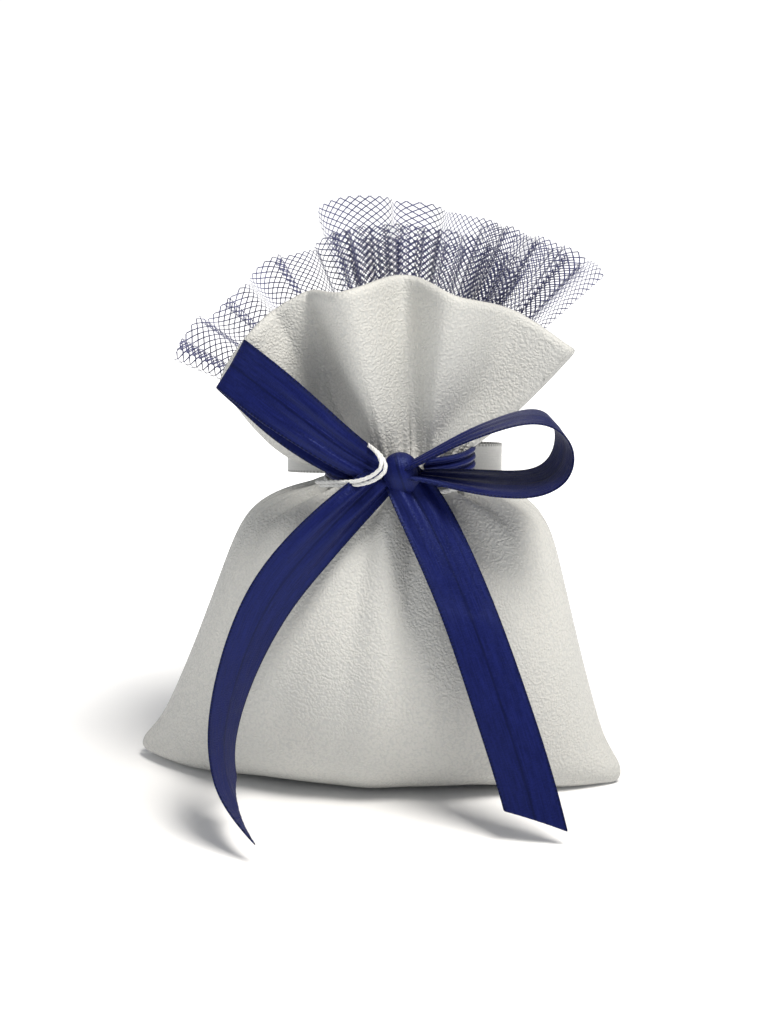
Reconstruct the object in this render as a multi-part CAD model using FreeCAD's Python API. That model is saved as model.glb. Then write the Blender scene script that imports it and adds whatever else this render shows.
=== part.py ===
import FreeCAD, Part
import math
import os

# Favour pouch: a small fabric bag of sugared almonds in net, gathered at the neck and tied with a bow.
# Millimetres. X runs to the right, +Y to the back and +Z up. The origin is the middle of the flat base.
# Every cloth piece is a closed solid between two smooth skins, shaped by a net of control points.

V = FreeCAD.Vector

# Driving dimensions
EAR_HALF_WIDTH = 41.0       # from the middle to the tip of a bottom corner
NECK_Z = 60.0               # height of the tie
NECK_X = 4.0                # the neck leans this far to the right of the base
NECK_HALF_WIDTH = 9.6
NECK_HALF_DEPTH = 7.0
CLOTH = 0.6                 # thickness of the bag's crepe
SEAM_GAP = 0.25             # from the mid plane to the rim of each panel
STITCH_RADIUS = 0.17
COLLAR_MID = 35.0           # length of the collar above the tie, at its middle
COLLAR_SIDE_LOSS = 4.0      # how much shorter it is at the side seams
COLLAR_FAN = 44.0           # degrees from upright to each side seam of the collar
HEM_DEPTH = 5.0
RIBBON_WIDTH = 10.0
RIBBON = 0.4                # thickness of the satin ribbon
TAPE_WIDTH = 6.0
NET = 0.35                  # thickness given to the net
ALMOND = V(12.2, 8.2, 5.8)  # half length, half width and half thickness of a sugared almond
CORD_RADIUS = 0.5

STRAIGHT = 0.002            # radians of half turn below which a path has no corner

FRONT, BACK = -1, 1
ACROSS = 25                 # control points across a panel

# Body of the bag, from the bottom seam up to the neck: height, half width, half depth, and
# how far the panel's rim stands off the side seam, which rounds the bottom corners. The first
# rows are the base, which starts a touch low and is trimmed flat at z = 0
BODY_ROWS = (
    (-0.1, 37.6, 0.0, 0.0), (-0.1, 38.4, 3.5, 0.3), (-0.1, 39.2, 7.0, 0.6), (-0.1, 40.2, 10.2, 0.9),
    (1.6, 41.0, 14.0, 0.9), (6.0, 40.2, 17.4, 0.3), (12.0, 37.9, 19.4, 0.0), (20.0, 35.2, 20.2, 0.0),
    (29.0, 32.8, 19.0, 0.0), (38.0, 30.8, 16.6, 0.0), (45.5, 29.0, 14.0, 0.0), (50.6, 26.8, 11.6, 0.0),
    (53.2, 21.0, 9.8, 0.0), (54.6, 13.8, 8.2, 0.0), (57.0, 10.2, 7.2, 0.0),
)
PLEATS_BELOW_NECK = 9


def unit(vector):
    """The vector at length 1."""
    return vector * (1.0 / vector.Length)


def knots(poles, degree=3):
    """Knots and multiplicities of a clamped, even B-spline with this many poles."""
    spans = poles - degree
    inner = [1] * (spans - 1)
    return [float(k) for k in range(spans + 1)], [degree + 1] + inner + [degree + 1]


def places(count):
    """Where the control points of an even cubic B-spline sit along it, from 0 to 1."""
    spans = count - 3
    line = [0.0] * 3 + [float(k) for k in range(spans + 1)] + [float(spans)] * 3
    return [sum(line[k + 1:k + 4]) / (3.0 * spans) for k in range(count)]


def skin(net):
    """A smooth face shaped by a net of control points."""
    u_knots, u_mults = knots(len(net))
    v_knots, v_mults = knots(len(net[0]))
    surface = Part.BSplineSurface()
    surface.buildFromPolesMultsKnots(net, u_mults, v_mults, u_knots, v_knots, False, False, 3, 3)
    return surface.toShape()


def rim(poles, other_poles):
    """The narrow face that joins an edge of one skin to the same edge of the other."""
    along, mults = knots(len(poles))
    surface = Part.BSplineSurface()
    surface.buildFromPolesMultsKnots([poles, other_poles], [2, 2], mults, [0.0, 1.0], along,
                                     False, False, 1, 3)
    return surface.toShape()


def edges_of(net):
    """The four outer rows and columns of a net."""
    return net[0], net[-1], [row[0] for row in net], [row[-1] for row in net]


def moved_along_normal(net, distance, seams_flat):
    """The net moved by a distance along its normals, across then up by the right-hand rule."""
    last_i, last_j = len(net) - 1, len(net[0]) - 1
    out = []
    for i, row in enumerate(net):
        new_row = []
        for j, point in enumerate(row):
            across = row[min(j + 1, last_j)] - row[max(j - 1, 0)]
            up = net[min(i + 1, last_i)][j] - net[max(i - 1, 0)][j]
            normal = across.cross(up)
            if seams_flat and j in (0, last_j):
                normal.y = 0.0
            new_row.append(point + unit(normal) * distance)
        out.append(new_row)
    return out


def cloth(net, first, second, seams_flat=False):
    """Closed solid between the net moved by the first distance and by the second."""
    nets = [moved_along_normal(net, distance, seams_flat) for distance in (first, second)]
    faces = [skin(moved) for moved in nets]
    for poles, other_poles in zip(edges_of(nets[0]), edges_of(nets[1])):
        faces.append(rim(poles, other_poles))
    shell = Part.makeShell(faces)
    shell.sewShape()
    solid = Part.makeSolid(shell)
    if solid.Volume < 0:
        solid.reverse()
    return solid


def neck_lean(z):
    """How far the middle of the bag has moved to the right at this height."""
    return NECK_X * min(z / NECK_Z, 1.0)


def body_row(side, z, half_width, half_depth, rim):
    """One row of the bag's body, from the left seam to the right seam, pinched flatter near the base."""
    pleat = 0.07 * max(0.0, (z - 30.0) / (NECK_Z - 30.0)) ** 2
    pinch = min(max((7.5 - z) / 6.0, 0.0), 1.0)
    row = []
    for place in places(ACROSS):
        u = 2.0 * place - 1.0
        turn = math.pi * u / 2.0
        ripple = 1.0 + pleat * math.cos(PLEATS_BELOW_NECK * math.pi * u)
        depth = half_depth * max(math.cos(turn), 0.0) ** 0.9
        y = SEAM_GAP + rim + depth * ripple
        across = half_width * (math.sin(turn) * (1.0 - pinch) + u * pinch)
        row.append(V(neck_lean(z) + across, side * y, z))
    return row


def collar_folds(u):
    """Soft folds of the collar, forward at +1 and back at -1."""
    return math.cos(3.4 * math.pi * (u - 0.3))


def collar_row(side, share):
    """One row of the collar at this share of its length above the neck."""
    lean = {FRONT: -4.0, BACK: 34.0}[side]
    row = []
    for place in places(ACROSS):
        u = 2.0 * place - 1.0
        turn = math.pi * u / 2.0
        reach = share * (COLLAR_MID - COLLAR_SIDE_LOSS * u * u)
        fan = math.radians(COLLAR_FAN * u)
        middle = max(math.cos(turn), 0.0)
        tilt = math.radians(lean * middle)
        out = NECK_HALF_DEPTH * middle + reach * math.sin(tilt)
        fold = 2.6 * share * middle * collar_folds(u)
        x = NECK_X + NECK_HALF_WIDTH * math.sin(turn) + reach * math.cos(tilt) * math.sin(fan)
        z = NECK_Z + reach * math.cos(tilt) * math.cos(fan)
        row.append(V(x, side * (SEAM_GAP + out + fold), z))
    return row


def panel_net(side):
    """The whole outer face of the front or back panel, from the bottom seam to the collar's edge."""
    rows = [body_row(side, *values) for values in BODY_ROWS]
    rows += [collar_row(side, sixths / 6.0) for sixths in (0, 1, 2, 3, 4, 5, 17 / 3, 6)]
    return rows


def panel(side):
    """Front or back panel, thickened inwards and trimmed to a flat base."""
    below = Part.makeBox(200.0, 200.0, 10.0, V(-100.0, -100.0, -10.0))
    return cloth(panel_net(side), 0.0, side * CLOTH, seams_flat=True).cut(below)


def hem(side):
    """The collar's turned-in edge, inside the panel."""
    start = 1.0 - HEM_DEPTH / COLLAR_MID
    rows = [collar_row(side, start + (0.99 - start) * k / 3.0) for k in range(4)]
    gap = CLOTH + 0.2
    return cloth(rows, side * gap, side * (gap + 0.5), seams_flat=True)


def rounded_path(points):
    """Straight runs joined by tangent arcs as large as the runs allow."""
    edges = []
    start = points[0]
    for before, corner, after in zip(points, points[1:], points[2:]):
        back, ahead = before - corner, after - corner
        half_turn = (math.pi - back.getAngle(ahead)) / 2.0
        if half_turn < STRAIGHT:
            continue
        shorter = min(back.Length, ahead.Length)
        cut = 0.45 * shorter
        radius = cut / math.tan(half_turn)
        print("bend radius", round(radius, 2))
        enter, leave = corner + unit(back) * cut, corner + unit(ahead) * cut
        bisector = unit(unit(back) + unit(ahead))
        centre = corner + bisector * (radius / math.cos(half_turn))
        middle = centre - bisector * radius
        edges.append(Part.LineSegment(start, enter).toShape())
        edges.append(Part.Arc(enter, middle, leave).toShape())
        start = leave
    edges.append(Part.LineSegment(start, points[-1]).toShape())
    return Part.Wire(edges)


def tube(points, radius):
    """Round cord or thread along a path."""
    path = rounded_path(points)
    disc = Part.Wire(Part.makeCircle(radius, points[0], points[1] - points[0]))
    solid = path.makePipeShell([disc], True, True)
    swept = math.pi * radius**2 * path.Length
    print("tube volume", round(solid.Volume, 2), "section x length", round(swept, 2))
    return solid


def side_seam(x_sign):
    """Stitching of a side seam, between the rims of the two panels."""
    rim = 0 if x_sign < 0 else ACROSS - 1
    rows = [row[rim] for row in panel_net(FRONT)]
    points = [V(p.x - x_sign * 0.6, 0.0, p.z) for p in rows[5:-1]]
    return tube(points, STITCH_RADIUS)


def bottom_seam():
    """Stitching of the bottom seam."""
    half = EAR_HALF_WIDTH - 4.5
    return tube([V(-half, 0.0, 0.4), V(half, 0.0, 0.4)], STITCH_RADIUS)


def band(stations, thickness):
    """Flat ribbon: each station is its middle, the direction across it and its width there."""
    net = []
    for middle, across, width in stations:
        side = unit(across) * (width / 2.0)
        net.append([middle + side * (2.0 * place - 1.0) for place in places(5)])
    return cloth(net, -thickness / 2.0, thickness / 2.0)


def neck_wrap():
    """Ribbon round the gathered neck, from one side of the knot round the back to the other."""
    stations = []
    for k in range(17):
        turn = math.radians(-62.0 + (360.0 - 56.0) * k / 16.0)
        middle = V(NECK_X + 12.8 * math.cos(turn), 10.2 * math.sin(turn), NECK_Z)
        stations.append((middle, V(0, 0, 1), 5.0))
    return band(stations, RIBBON)


def egg(centre, half_sizes, turns=()):
    """An ellipsoid with these half sizes, turned about its centre by (axis, degrees) pairs."""
    ball = Part.makeSphere(1.0)
    stretch = FreeCAD.Matrix()
    stretch.scale(half_sizes.x, half_sizes.y, half_sizes.z)
    solid = ball.transformGeometry(stretch)
    for axis, degrees in turns:
        solid.rotate(V(0, 0, 0), axis, degrees)
    solid.translate(centre)
    return solid


def left_loop():
    """Pressed loop: out in front, folded at its end and back behind."""
    root, end = V(-1.4, -15.0, 62.2), V(-25.2, -10.6, 78.6)
    along = unit(end - root)
    reach = (end - root).Length
    across = V(0.54, 0.0, 0.84)
    stations = []
    for share, behind, width in ((0.0, 0.0, 5.5), (0.12, -0.2, 7.2), (0.3, -0.7, 9.4), (0.5, -0.9, 10.0),
                                 (0.7, -0.7, 10.0), (0.88, -0.3, 10.0), (1.0, 0.3, 10.0), (1.03, 1.3, 10.0),
                                 (1.0, 2.3, 10.0), (0.88, 2.7, 10.0), (0.7, 2.7, 10.0), (0.5, 2.4, 10.0),
                                 (0.3, 2.0, 9.4), (0.12, 1.5, 7.2), (0.0, 1.3, 5.5)):
        stations.append((root + along * (reach * share) + V(0, behind, 0), across, width))
    return band(stations, RIBBON)


def right_loop():
    """Open loop standing out to the right, its width running front to back."""
    route = ((9.2, 62.6, 5.0), (12.0, 64.0, 6.5), (16.5, 66.4, 9.0), (22.0, 69.2, 10.0),
             (27.6, 71.4, 10.0), (32.6, 71.4, 10.0), (35.8, 68.2, 10.0), (35.6, 63.6, 10.0),
             (31.6, 60.4, 10.0), (25.6, 58.8, 10.0), (19.0, 58.4, 9.5), (13.6, 58.6, 7.5),
             (9.2, 59.2, 5.0))
    stations = [(V(x, -14.2, z), V(0.12, 1.0, 0.06), width) for x, z, width in route]
    return band(stations, RIBBON)


def left_tail():
    """Long tail that hangs down to the left and twists until it is edge on at its cut end."""
    route = ((0.2, -14.6, 57.2, 4.5), (-3.6, -16.0, 54.2, 7.2), (-9.5, -18.0, 49.4, 10.0),
             (-15.5, -20.2, 43.0, 10.0), (-20.6, -22.6, 35.6, 10.0), (-24.2, -25.2, 27.4, 10.0),
             (-26.0, -27.8, 19.0, 10.0), (-25.8, -30.4, 11.6, 10.0), (-23.6, -32.8, 6.0, 7.0),
             (-20.6, -34.6, 2.6, 2.0))
    points = [V(*step[:3]) for step in route]
    stations = []
    for k, (point, step) in enumerate(zip(points, route)):
        along = unit(points[min(k + 1, len(points) - 1)] - points[max(k - 1, 0)])
        facing = V(0.0, -1.0, 0.15)
        flat = unit(facing.cross(along))
        twist = 75.0 * (k / (len(points) - 1.0)) ** 1.5
        across = FreeCAD.Rotation(along, -twist).multVec(flat)
        stations.append((point, across, step[3]))
    return band(stations, RIBBON)


def right_tail():
    """Tail that hangs down to the right in front of the belly, its end cut on the slant."""
    route = ((7.6, -14.6, 56.6, 6.0), (9.2, -16.2, 52.6, 8.8), (12.2, -18.4, 45.0, 10.0),
             (15.6, -21.0, 36.0, 10.0), (19.0, -24.0, 26.6, 10.0), (22.4, -27.2, 16.8, 10.0),
             (25.4, -30.0, 8.4, 10.0), (27.2, -31.6, 3.4, 10.0))
    stations = [(V(x, y, z), V(0.95, 0.0, 0.31), width) for x, y, z, width in route]
    return band(stations, RIBBON)


def tape_loop(x_sign):
    """Half of the white drawstring tape's flat bow, lying behind the neck."""
    reach = {-1: 18.6, 1: 15.6}[x_sign]
    stations = []
    for share, y in ((0.0, 12.0), (0.2, 12.2), (0.5, 12.4), (0.8, 12.4), (1.0, 12.7), (1.04, 13.3),
                     (1.0, 13.9), (0.8, 14.3), (0.5, 14.3), (0.2, 14.1), (0.0, 13.9)):
        stations.append((V(NECK_X + x_sign * (2.2 + reach * share), y, 56.4), V(0, 0, 1), TAPE_WIDTH))
    return band(stations, 0.4)


def frill(fan_from, fan_to, reach, y_root, y_top, waves, swing):
    """A fan of pleated net standing up out of the neck."""
    net = []
    for share in places(7):
        row = []
        for u in places(4 * waves + 1):
            fan = math.radians(fan_from + (fan_to - fan_from) * u)
            ripple = swing * share * math.cos(2.0 * math.pi * waves * u)
            radius = 3.5 + (reach - 3.5) * share
            row.append(V(NECK_X + radius * math.sin(fan), y_root + (y_top - y_root) * share + ripple,
                         NECK_Z + radius * math.cos(fan)))
        net.append(row)
    return cloth(net, 0.0, NET)


def net_bag(side):
    """Half of the net gathered round the almonds, inside the panel."""
    rows = []
    for z, half_width, half_depth, rim in BODY_ROWS:
        rows.append(body_row(side, z * 0.955 + 1.3, half_width - 4.2, max(half_depth - 2.4, 0.0), rim))
    return cloth(rows, 0.0, side * NET, seams_flat=True)


def drawcord():
    """Thin twisted cord drawn tight round the gathers, just under the ribbon."""
    points = []
    for k in range(15):
        turn = math.radians(-118.0 - (360.0 - 40.0) * k / 14.0)
        points.append(V(NECK_X + 13.6 * math.cos(turn), 10.6 * math.sin(turn), 56.3))
    return tube(points, CORD_RADIUS)


def drawcord_front_loop():
    """The cord's doubled end, brought up over the root of the left loop and back."""
    points = [V(-10.4, -10.2, 58.2), V(-8.0, -13.2, 59.6), V(-4.6, -16.2, 60.3), V(-1.0, -17.8, 61.4),
              V(0.9, -18.2, 63.8), V(0.6, -17.2, 66.6), V(-0.8, -14.6, 68.2), V(-2.4, -11.6, 67.8)]
    return tube(points, CORD_RADIUS)


ALMONDS = (
    (V(-14.5, -2.0, 9.4), ((V(0, 0, 1), 8.0),)),
    (V(13.5, -1.0, 9.6), ((V(0, 0, 1), -10.0),)),
    (V(-10.5, 1.0, 22.6), ((V(0, 0, 1), -12.0), (V(0, 1, 0), 6.0))),
    (V(15.6, 0.5, 23.0), ((V(0, 0, 1), 10.0), (V(0, 1, 0), -5.0))),
    (V(3.0, 0.0, 36.0), ((V(0, 0, 1), 4.0),)),
)

parts = {
    "front_panel": panel(FRONT),
    "back_panel": panel(BACK),
    "front_collar_hem": hem(FRONT),
    "back_collar_hem": hem(BACK),
    "left_side_stitching": side_seam(-1),
    "right_side_stitching": side_seam(1),
    "bottom_stitching": bottom_seam(),
    "drawcord": drawcord(),
    "drawcord_front_loop": drawcord_front_loop(),
    "tape_left_loop": tape_loop(-1),
    "tape_right_loop": tape_loop(1),
    "tape_knot": egg(V(NECK_X, 13.0, 56.4), V(2.0, 1.6, 2.6)),
    "ribbon_neck_wrap": neck_wrap(),
    "ribbon_knot": egg(V(3.9, -14.0, 60.4), V(4.0, 2.6, 3.4)),
    "left_loop": left_loop(),
    "right_loop": right_loop(),
    "left_tail": left_tail(),
    "right_tail": right_tail(),
    "net_bag_front": net_bag(FRONT),
    "net_bag_back": net_bag(BACK),
    "net_frill_front": frill(-16.0, 48.0, 46.5, -1.5, 1.5, 6, 1.0),
    "net_frill_back": frill(-10.0, 38.0, 41.0, 0.8, 7.0, 6, 1.0),
    "net_frill_left": frill(-50.0, -18.0, 42.0, 0.6, 2.2, 5, 0.7),
    "net_tie_thread": tube([V(NECK_X + 5.2 * math.cos(math.radians(a)), 4.4 * math.sin(math.radians(a)), 58.0)
                            for a in range(0, 350, 30)], 0.3),
}
for number, (centre, turns) in enumerate(ALMONDS, 1):
    parts[f"sugared_almond_{number}"] = egg(centre, ALMOND, turns)

os.makedirs("parts", exist_ok=True)
for name, shape in parts.items():
    box = shape.BoundBox
    print(name, "valid", shape.isValid(), "volume", round(shape.Volume, 1),
          "box", [round(v, 1) for v in (box.XMin, box.YMin, box.ZMin, box.XMax, box.YMax, box.ZMax)])
    shape.exportStep(os.path.join("parts", f"{name}.step"))
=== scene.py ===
# %% [markdown]
# # A favour pouch tied with a satin bow
# The pouch is a small crepe bag, filled with sugared almonds in net, gathered at the neck and tied.
# Its engineering model is loaded first: it fixes where every piece is and what moves. Each soft piece
# is then made here as real cloth would be, from a flat cut that is laid into place.

# %% Load the frame
import math
import random

import bmesh
import bpy
import numpy as np
from mathutils import Matrix, Vector


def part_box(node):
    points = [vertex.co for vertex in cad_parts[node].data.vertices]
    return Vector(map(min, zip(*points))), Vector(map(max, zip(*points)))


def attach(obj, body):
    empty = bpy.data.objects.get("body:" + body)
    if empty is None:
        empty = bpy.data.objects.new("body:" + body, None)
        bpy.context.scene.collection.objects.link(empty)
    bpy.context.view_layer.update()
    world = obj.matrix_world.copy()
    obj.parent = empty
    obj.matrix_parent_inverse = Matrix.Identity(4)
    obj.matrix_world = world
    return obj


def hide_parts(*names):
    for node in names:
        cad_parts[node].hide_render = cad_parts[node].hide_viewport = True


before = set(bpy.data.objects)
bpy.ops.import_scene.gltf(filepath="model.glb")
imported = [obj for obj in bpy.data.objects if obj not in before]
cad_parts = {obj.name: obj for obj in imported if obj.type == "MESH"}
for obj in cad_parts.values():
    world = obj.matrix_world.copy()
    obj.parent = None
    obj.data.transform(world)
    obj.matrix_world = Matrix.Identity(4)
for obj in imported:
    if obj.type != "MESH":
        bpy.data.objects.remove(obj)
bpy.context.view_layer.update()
MM = 0.001

# %% [markdown]
# The main measures come from the frame: the turn of ribbon round the neck gives the neck's place,
# and the front panel gives the width of the bag. The heights in between are the bag's own profile.

# %% Main measures
wrap_low, wrap_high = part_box("ribbon_neck_wrap")
panel_low, panel_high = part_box("front_panel")
NECK_Z = (wrap_low.z + wrap_high.z) / 2
NECK_X = (wrap_low.x + wrap_high.x) / 2
BAG_HALF_WIDTH = (panel_high.x - panel_low.x) / 2
NECK_HALF_WIDTH, NECK_HALF_DEPTH = 9.4 * MM, 6.9 * MM
SEAM_GAP = 0.25 * MM
CLOTH = 0.6 * MM
RIBBON_WIDTH = 10.0 * MM
TAPE_WIDTH = 6.0 * MM
RIBBON_THICKNESS = 0.3 * MM
print("neck at", round(NECK_X, 4), round(NECK_Z, 4), "bag half width", round(BAG_HALF_WIDTH, 4))

# %% [markdown]
# ## Smooth lines from few values
# A profile is a handful of given values with a smooth line through them. A cubic B-spline gives
# that line: each place on it is a weighted sum of the values, and the weights are the same for every
# profile of the same length, so they are worked out once for many places.


# %% Spline weights
def weights(count, t):
    """Weights of an even, clamped cubic B-spline of so many values, at places t from 0 to 1."""
    t = np.clip(np.asarray(t, float), 0.0, 1.0 - 1e-9)[:, None]
    knots = np.concatenate([np.zeros(3), np.linspace(0.0, 1.0, count - 2), np.ones(3)])
    share = ((t >= knots[:-1]) & (t < knots[1:])).astype(float)
    for degree in (1, 2, 3):
        rise = knots[degree:-1] - knots[:-degree - 1]
        fall = knots[degree + 1:] - knots[1:-degree]
        up = np.where(rise > 0, (t - knots[:-degree - 1]) / np.where(rise > 0, rise, 1.0), 0.0)
        down = np.where(fall > 0, (knots[degree + 1:] - t) / np.where(fall > 0, fall, 1.0), 0.0)
        share = up * share[:, :-1] + down * share[:, 1:]
    return share


def smooth(values, t):
    """The smooth line of these values at places t."""
    return weights(len(values), np.atleast_1d(t)) @ np.asarray(values, float)


print("middle of a rise:", smooth([0.0, 0.0, 1.0, 1.0], 0.5))

# %% [markdown]
# ## Cloth from a flat cut
# A grid primitive is a flat rectangle of cloth. Its own measures are kept as its UV map, in metres, so
# that a weave or a crease follows the cloth wherever it is laid. A function then says where each point
# of the flat cut goes, which is quicker and steadier than a simulation for cloth that is tied tight.


# %% Cloth helpers
def flat_cloth(width, length, across, along):
    """A flat rectangle of cloth, standing on y = 0 and centred on x = 0."""
    bm = bmesh.new()
    bmesh.ops.create_grid(bm, x_segments=across, y_segments=along, size=0.5)
    bmesh.ops.translate(bm, vec=(0.0, 0.5, 0.0), verts=bm.verts)
    bmesh.ops.scale(bm, vec=(width, length, 1.0), verts=bm.verts)
    keep_measures(bm)
    return bm


def keep_measures(bm):
    """Stores the flat cut's own x and y as the UV map called cloth."""
    layer = bm.loops.layers.uv.new("cloth")
    for face in bm.faces:
        for loop in face.loops:
            loop[layer].uv = loop.vert.co.xy


def lay(bm, place):
    """Moves each point of flat cloth to where place(x, y) puts it."""
    flat = np.array([vert.co for vert in bm.verts])
    for vert, spot in zip(bm.verts, place(flat[:, 0], flat[:, 1])):
        vert.co = spot


def finished(name, bm, material, body, stands_for=()):
    """Makes the piece, smooth shaded, riding on its body."""
    mesh = bpy.data.meshes.new(name)
    bm.to_mesh(mesh)
    bm.free()
    for face in mesh.polygons:
        face.use_smooth = True
    mesh.materials.append(material)
    made = bpy.data.objects.new(name, mesh)
    bpy.context.scene.collection.objects.link(made)
    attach(made, body)
    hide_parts(*stands_for)
    print(name, len(mesh.polygons), "faces")
    return made


def thicken(made, thickness, levels=0):
    """Gives cloth its thickness, and one more subdivision where asked."""
    wall = made.modifiers.new("thickness", "SOLIDIFY")
    wall.thickness = thickness
    wall.offset = 0.0
    wall.use_even_offset = False
    if levels:
        finer = made.modifiers.new("smoothing", "SUBSURF")
        finer.levels = finer.render_levels = levels


# %% [markdown]
# ## Finishes
# Small effects that several finishes use are node groups. `pebble` is the crepe's grain: rounded
# islands with fine creases between them. `weave` is a fine woven surface that follows the cloth's own
# measures. Both give out a height for bump, and masks for colour: painted shade in the creases, painted sheen
# streaks and the woven edges.


# %% Node helpers
def new_group(name, inputs, outputs):
    """An empty node group with float inputs (name, value), an optional vector and float outputs."""
    group = bpy.data.node_groups.new(name, "ShaderNodeTree")
    group.interface.new_socket("Vector", in_out="INPUT", socket_type="NodeSocketVector")
    for label, value in inputs:
        made = group.interface.new_socket(label, in_out="INPUT", socket_type="NodeSocketFloat")
        made.default_value = value
    for label in outputs:
        group.interface.new_socket(label, in_out="OUTPUT", socket_type="NodeSocketFloat")
    nodes = group.nodes
    return group, nodes, group.links, nodes.new("NodeGroupInput"), nodes.new("NodeGroupOutput")


def math_node(nodes, links, operation, first, second=None, clamp=False):
    """A Math node fed by sockets or numbers; gives back its output."""
    node = nodes.new("ShaderNodeMath")
    node.operation = operation
    node.use_clamp = clamp
    for socket, value in zip(node.inputs, (first, second)):
        if isinstance(value, bpy.types.NodeSocket):
            links.new(value, socket)
        elif value is not None:
            socket.default_value = value
    return node.outputs[0]


def scaled(nodes, links, vector, scale):
    """The vector times a per-axis scale."""
    node = nodes.new("ShaderNodeVectorMath")
    node.operation = "MULTIPLY"
    links.new(vector, node.inputs[0])
    node.inputs[1].default_value = scale
    return node.outputs[0]


def noise(nodes, links, vector, scale, detail=2.0, roughness=0.5):
    """A Noise Texture's value at this scale."""
    node = nodes.new("ShaderNodeTexNoise")
    node.inputs["Scale"].default_value = scale
    node.inputs["Detail"].default_value = detail
    node.inputs["Roughness"].default_value = roughness
    links.new(vector, node.inputs["Vector"])
    return node.outputs["Fac"]


def ramp(nodes, links, value, low, high, to_low=0.0, to_high=1.0):
    """Maps low..high to to_low..to_high, smoothly and held at the ends."""
    node = nodes.new("ShaderNodeMapRange")
    node.interpolation_type = "SMOOTHSTEP"
    links.new(value, node.inputs["Value"])
    for label, number in (("From Min", low), ("From Max", high), ("To Min", to_low), ("To Max", to_high)):
        node.inputs[label].default_value = number
    return node.outputs["Result"]


# %% The pebble group
def make_pebble():
    """Crepe grain: island height and a mask that is 1 in the creases, for painted shade there."""
    group, nodes, links, given, out = new_group("pebble", (("Size", 900.0),), ("Height", "Pebble Shade"))
    cells = nodes.new("ShaderNodeTexVoronoi")
    cells.feature = "SMOOTH_F1"
    cells.inputs["Smoothness"].default_value = 0.25
    warp = nodes.new("ShaderNodeTexNoise")
    warp.inputs["Scale"].default_value = 700.0
    warp.inputs["Detail"].default_value = 2.0
    links.new(given.outputs["Vector"], warp.inputs["Vector"])
    shift = nodes.new("ShaderNodeVectorMath")
    shift.operation = "MULTIPLY_ADD"
    links.new(warp.outputs["Color"], shift.inputs[0])
    shift.inputs[1].default_value = (0.0009, 0.0009, 0.0009)
    links.new(given.outputs["Vector"], shift.inputs[2])
    links.new(shift.outputs[0], cells.inputs["Vector"])
    links.new(given.outputs["Size"], cells.inputs["Scale"])
    dome = ramp(nodes, links, cells.outputs["Distance"], 0.15, 0.75, 1.0, 0.0)
    fine = noise(nodes, links, given.outputs["Vector"], 3600.0, 3.0, 0.6)
    height = math_node(nodes, links, "MULTIPLY_ADD", fine, 0.35)
    links.new(dome, height.node.inputs[2])
    links.new(height, out.inputs["Height"])
    # The crease mask darkens the crepe's colour between the pebbles: painted shade.
    links.new(ramp(nodes, links, cells.outputs["Distance"], 0.45, 0.8), out.inputs["Pebble Shade"])
    return group


PEBBLE = make_pebble()
print("pebble group:", len(PEBBLE.nodes), "nodes")


# %% The weave group
def make_weave():
    """Satin weave on the cloth's own measures: thread height, painted sheen streaks, selvedge mask and a mask
    for painted shade along the centre crease.
    """
    group, nodes, links, given, out = new_group(
        "weave", (("Half Width", 0.005),), ("Height", "Streaks", "Selvedge", "Crease Shade"))
    split = nodes.new("ShaderNodeSeparateXYZ")
    links.new(given.outputs["Vector"], split.inputs[0])
    cloth = given.outputs["Vector"]
    floats = noise(nodes, links, scaled(nodes, links, cloth, (1500.0, 5200.0, 1.0)), 1.0, 2.0)
    warp_lines = noise(nodes, links, scaled(nodes, links, cloth, (4200.0, 260.0, 1.0)), 1.0, 1.0)
    height = math_node(nodes, links, "ADD", floats, warp_lines)
    links.new(height, out.inputs["Height"])
    # Broad streaks along the ribbon, painted sheen in its colour.
    broad_sheen = noise(nodes, links, scaled(nodes, links, cloth, (900.0, 90.0, 1.0)), 1.0, 3.0)
    links.new(broad_sheen, out.inputs["Streaks"])
    off_middle = math_node(nodes, links, "ABSOLUTE", split.outputs["X"])
    inset = math_node(nodes, links, "SUBTRACT", given.outputs["Half Width"], off_middle)
    edge = ramp(nodes, links, inset, 0.0003, 0.0006, 1.0, 0.0)
    beat = math_node(nodes, links, "SINE", math_node(nodes, links, "MULTIPLY", split.outputs["Y"], 9000.0))
    loops = ramp(nodes, links, beat, -0.6, 0.6, 0.35, 1.0)
    links.new(math_node(nodes, links, "MULTIPLY", edge, loops), out.inputs["Selvedge"])
    # A mask along the centre crease, which darkens the colour there: painted shade.
    links.new(ramp(nodes, links, off_middle, 0.0, 0.0004, 1.0, 0.0), out.inputs["Crease Shade"])
    return group


WEAVE = make_weave()
print("weave group:", len(WEAVE.nodes), "nodes")

# %% [markdown]
# Each finish is a Principled shader with the numbers that are the same all over set on the shader
# itself, and only what changes over the surface fed by nodes.


# %% Finish helper
def new_finish(name, roughness, sheen=0.0, coat=0.0, specular=0.5):
    """A material with its Principled shader; gives material, nodes, links and shader."""
    material = bpy.data.materials.new(name)
    material.use_nodes = True
    nodes, links = material.node_tree.nodes, material.node_tree.links
    shader = nodes["Principled BSDF"]
    shader.inputs["Roughness"].default_value = roughness
    shader.inputs["Sheen Weight"].default_value = sheen
    shader.inputs["Sheen Roughness"].default_value = 0.4
    shader.inputs["Coat Weight"].default_value = coat
    shader.inputs["Specular IOR Level"].default_value = specular
    return material, nodes, links, shader


def blend_colours(nodes, links, factor, first, second):
    """A Mix node between two colours, or colour sockets; gives back its colour."""
    node = nodes.new("ShaderNodeMix")
    node.data_type = "RGBA"
    links.new(factor, node.inputs["Factor"])
    for label, value in (("A", first), ("B", second)):
        socket = [s for s in node.inputs if s.name == label and s.type == "RGBA"][0]
        if isinstance(value, bpy.types.NodeSocket):
            links.new(value, socket)
        else:
            socket.default_value = (*value, 1.0)
    return [s for s in node.outputs if s.type == "RGBA"][0]


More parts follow.
